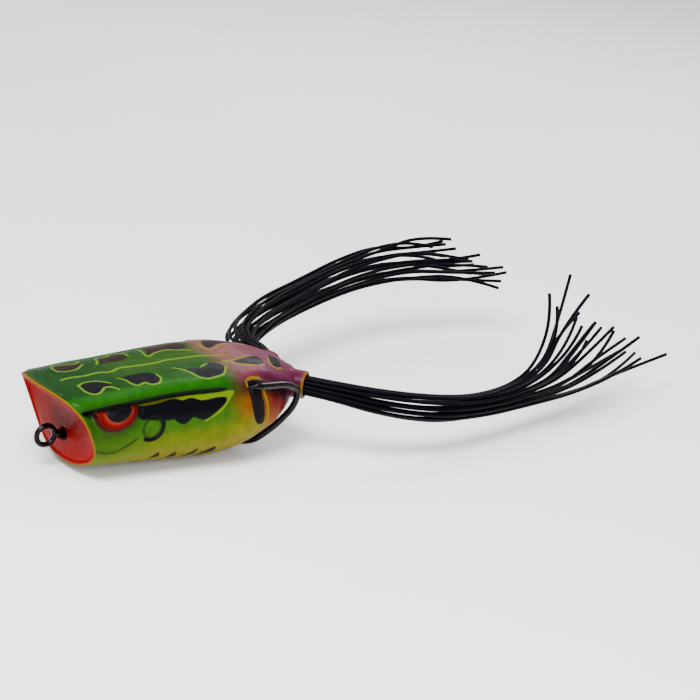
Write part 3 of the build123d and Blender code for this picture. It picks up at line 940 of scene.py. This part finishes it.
def skin_material():
    n = Nodes("painted_soft_skin")
    y, girth = n.attribute("paint_y"), n.attribute("paint_girth")
    wobble = n.math("SUBTRACT", n.noise(900, 2), 0.5)
    wide = n.noise(160, 3)

    shifted = n.math("ADD", girth, n.math("MULTIPLY", n.math("SUBTRACT", wide, 0.5), 2.2))
    across = n.math("DIVIDE", shifted, GIRTH_SPAN)
    front = n.ramp(across, [
        (0.00, paint(38, 78, 30)), (0.22, paint(32, 72, 30)), (0.34, paint(56, 96, 20)),
        (0.44, paint(62, 94, 4)), (0.56, paint(84, 116, 0)), (0.64, paint(124, 144, 0)),
        (0.74, paint(158, 164, 0)), (1.00, paint(164, 156, 0))])
    rear = n.ramp(across, [
        (0.00, paint(66, 100, 40)), (0.16, paint(48, 88, 38)), (0.30, paint(50, 98, 26)),
        (0.40, paint(46, 92, 4)), (0.50, paint(80, 122, 0)), (0.60, paint(134, 146, 0)),
        (0.72, paint(160, 154, 0)), (1.00, paint(166, 148, 0))])
    base = n.mix(n.span(y, -20.0, -8.0), front, rear)
    ridge = n.attribute("ridge")
    # Painted highlight: a lighter green band along the back just above the ridge, fading out over the hips.
    ridge_highlight = n.math("MULTIPLY", n.span(ridge, -4.4, -2.6), n.span(ridge, -0.4, -1.4))
    ridge_highlight = n.math("MULTIPLY", ridge_highlight, n.span(y, 9.0, 3.0, 0.0, 0.8))
    base = n.mix(ridge_highlight, base, paint(62, 118, 28))

    rump = n.ramp(across, [
        (0.00, paint(158, 110, 98)), (0.20, paint(150, 100, 94)), (0.30, paint(126, 64, 82)),
        (0.37, paint(84, 44, 34)), (0.46, paint(150, 96, 0)), (0.60, paint(158, 154, 0)),
        (0.75, paint(168, 150, 0)), (1.00, paint(168, 140, 0))])
    rump_line = n.math("ADD", y, n.math("MULTIPLY", n.math("SUBTRACT", wide, 0.5), 4.0))
    base = n.mix(n.span(rump_line, 5.0, 11.0), base, rump)
    # Painted shade: the dark stop near girth 13 is shade along the hip's crease.
    hip = n.ramp(across, [
        (0.00, paint(132, 66, 84)), (0.28, paint(112, 48, 74)), (0.36, paint(46, 14, 22)),
        (0.44, paint(124, 36, 24)), (0.52, paint(158, 88, 0)), (0.62, paint(168, 134, 0)),
        (1.00, paint(160, 136, 0))])
    base = n.mix(n.span(rump_line, 13.5, 17.5), base, hip)
    violet = n.math("MULTIPLY", n.span(n.noise(330, 3), 0.48, 0.66, 0.0, 0.45), n.span(girth, 12.0, 9.0))
    base = n.mix(n.math("MULTIPLY", violet, n.span(rump_line, 7.0, 12.0)), base, paint(134, 84, 128))
    base = n.mix(n.span(y, 24.0, 28.0), base, n.ramp(across, [
        (0.0, paint(114, 48, 78)), (0.34, paint(120, 50, 82)), (0.42, paint(92, 34, 44)),
        (0.52, paint(130, 84, 30)), (1.0, paint(150, 110, 30))]))
    shade = n.span(n.noise(520, 4), 0.25, 0.75, 0.72, 1.0)
    grey = n.tree.nodes.new("ShaderNodeCombineColor")
    for channel in ("Red", "Green", "Blue"):
        n.put(grey.inputs[channel], shade)
    base = n.mix(1.0, base, grey.outputs["Color"], "MULTIPLY")

    dark_colour = n.mix(n.span(y, 10.0, 14.0), paint(2, 3, 10), paint(16, 8, 12))
    far_side = n.math("MULTIPLY", n.span(n.attribute("side"), -1.5, -3.5), n.span(girth, 11.5, 9.5))
    dark_colour = n.mix(far_side, dark_colour, paint(44, 22, 20))
    edge = n.math("ADD", n.attribute("band_edge"), n.math("MULTIPLY", wobble, 0.15))
    edge_colour = n.mix(n.span(y, -9.0, -2.0), paint(92, 84, 36), paint(126, 152, 10))
    base = n.mix(n.span(edge, -0.15, 0.20), base, edge_colour)
    dark = n.math("ADD", n.attribute("dark_mark"), n.math("MULTIPLY", wobble, 0.18))
    base = n.mix(n.span(dark, -0.14, 0.12), base, dark_colour)
    pale = n.math("ADD", n.attribute("pale_line"), n.math("MULTIPLY", wobble, 0.12))
    pale_colour = n.mix(n.span(y, 4.0, 12.0), paint(130, 164, 20), paint(158, 136, 48))
    base = n.mix(n.span(pale, -0.10, 0.06), base, pale_colour)
    # The ring's red runs from dark at its outer edge to pink near the pupil: painted shade at the edge and a
    # painted highlight towards the middle.
    shaded_ring_colour = n.ramp(n.span(n.attribute("eye_ring"), 0.0, 2.2), [
        (0.0, paint(60, 14, 6)), (0.3, paint(92, 12, 10)), (0.7, paint(126, 36, 34)),
        (1.0, paint(150, 70, 62))])
    base = n.mix(n.span(n.attribute("eye_ring"), -0.1, 0.15), base, shaded_ring_colour)
    base = n.mix(n.span(n.attribute("pupil"), -0.08, 0.10), base, paint(10, 10, 16))
    # Painted shade in the grooves and the eye's slit.
    base = n.mix(n.span(n.attribute("groove_shade"), 0.2, 1.2, 0.0, 0.75), base, paint(10, 20, 6))
    # Painted shadow under the ridge's overhang.
    base = n.mix(n.span(n.attribute("brow_shadow"), 0.25, 1.1), base, paint(8, 14, 6))

    cup_depth = n.attribute("mouth")
    # The cup's red darkens towards its middle: painted shade deep in the hollow.
    cup = n.ramp(n.math("DIVIDE", cup_depth, CUP_MIDDLE_MARK), [
        (0.0, paint(174, 0, 8)), (0.3, paint(168, 0, 8)), (0.7, paint(142, 0, 8)), (1.0, paint(96, 0, 8))])
    cup = n.mix(n.span(wide, 0.40, 0.75, 0.0, 0.5), cup, paint(170, 0, 44))
    rim = n.mix(n.span(cup_depth, -0.25, 0.05), base, paint(150, 124, 40))
    base = n.mix(n.span(cup_depth, 0.30, 0.55), rim, cup)

    end = n.attribute("sleeve_end")
    base = n.mix(n.span(end, -0.75, -0.20), base, paint(140, 104, 52))
    base = n.mix(n.span(end, 0.3, 1.0), base, paint(20, 12, 12))
    # The belly slot's floor is painted dark: painted shade in the hole.
    base = n.mix(n.span(n.attribute("slot"), 0.0, 0.3), base, paint(22, 22, 6))
    n.set("Base Color", base)
    n.set("Roughness", n.span(n.noise(700, 4), 0.3, 0.7, 0.38, 0.52))
    n.set("Specular IOR Level", SKIN_SPECULAR)
    n.set("Coat Weight", 0.05)
    n.set("Coat Roughness", 0.14)
    n.set("Subsurface Weight", 0.03)
    n.set("Subsurface Radius", (0.0012, 0.0008, 0.0004))
    n.bump(n.math("ADD", n.noise(1400, 3), n.math("MULTIPLY", n.noise(260, 3), 2.0)), 0.00005, 0.6)
    return n.material


def hook_material():
    n = Nodes("black_nickel")
    wear = n.noise(420, 4)
    n.set("Base Color", n.ramp(wear, [(0.3, paint(22, 19, 22)), (0.7, paint(44, 38, 42))]))
    n.set("Metallic", 1.0)
    n.set("Roughness", n.span(n.noise(1100, 5), 0.3, 0.7, 0.20, 0.32))
    n.set("Coat Weight", 0.15)
    n.set("Coat Roughness", 0.08)
    n.bump(n.noise(2600, 3), 0.00001, 0.5)
    return n.material


def rubber_material():
    n = Nodes("black_leg_rubber")
    shade = n.mix(n.attribute("strand_number"), paint(2, 3, 8), paint(8, 10, 20))
    n.set("Base Color", n.mix(n.span(n.noise(1600, 3), 0.35, 0.75, 0.0, 0.4), shade, paint(14, 16, 26)))
    n.set("Roughness", n.span(n.noise(900, 4), 0.3, 0.7, 0.34, 0.50))
    n.set("Specular IOR Level", RUBBER_SPECULAR)
    n.bump(n.noise(2400, 3), 0.00002, 0.5)
    return n.material


def weight_material():
    n = Nodes("dull_cast_metal")
    n.set("Base Color", n.ramp(n.noise(500, 4), [(0.3, paint(96, 98, 102)), (0.7, paint(130, 130, 134))]))
    n.set("Metallic", 1.0)
    n.set("Roughness", n.span(n.noise(800, 4), 0.3, 0.7, 0.42, 0.62))
    n.bump(n.noise(700, 5), 0.0001, 0.6)
    return n.material


def collar_material():
    n = Nodes("matt_collar_rubber")
    n.set("Base Color", n.ramp(n.noise(900, 3), [(0.3, paint(18, 18, 20)), (0.7, paint(34, 34, 36))]))
    n.set("Roughness", n.span(n.noise(900, 3), 0.3, 0.7, 0.55, 0.75))
    n.bump(n.noise(1500, 3), 0.00003, 0.5)
    return n.material


def give(node, material):
    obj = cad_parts[node]
    obj.data.materials.clear()
    obj.data.materials.append(material)


# ---- stage --------------------------------------------------------------------------------
def make_stage():
    corners = [(x * FLOOR_HALF, y * FLOOR_HALF, 0) for x, y in ((-1, -1), (1, -1), (1, 1), (-1, 1))]
    floor = new_mesh_object("floor", np.array(corners), [(0, 1, 2, 3)], smooth=False)
    n = Nodes("pale_floor")
    low, high = ((shade, shade, shade, 1) for shade in FLOOR_SHADES)
    n.set("Base Color", n.ramp(n.noise(8, 2), [(0.3, low), (0.7, high)]))
    n.set("Roughness", 0.9)
    floor.data.materials.append(n.material)
    world = bpy.context.scene.world or bpy.data.worlds.new("studio")
    bpy.context.scene.world = world
    world.use_nodes = True
    background = world.node_tree.nodes["Background"]
    background.inputs["Color"].default_value = (1.0, 1.0, 1.0, 1.0)
    background.inputs["Strength"].default_value = WORLD_STRENGTH
    for name, place, width, power in LIGHTS:
        light = bpy.data.objects.new(name, bpy.data.lights.new(name, "AREA"))
        light.data.shape = "DISK"
        light.data.size = width * MM
        light.data.energy = power
        bpy.context.scene.collection.objects.link(light)
        light.location = Vector(place) * MM
        aim = Vector(LIGHTS_AIM) * MM - light.location
        light.rotation_euler = aim.to_track_quat("-Z", "Y").to_euler()


make_camera()
make_strands(rubber_material())
make_skin(skin_material())
give("double_hook", hook_material())
give("keel_weight", weight_material())
for side_name in ("left", "right"):
    give(f"{side_name}_leg_collar", collar_material())
make_stage()
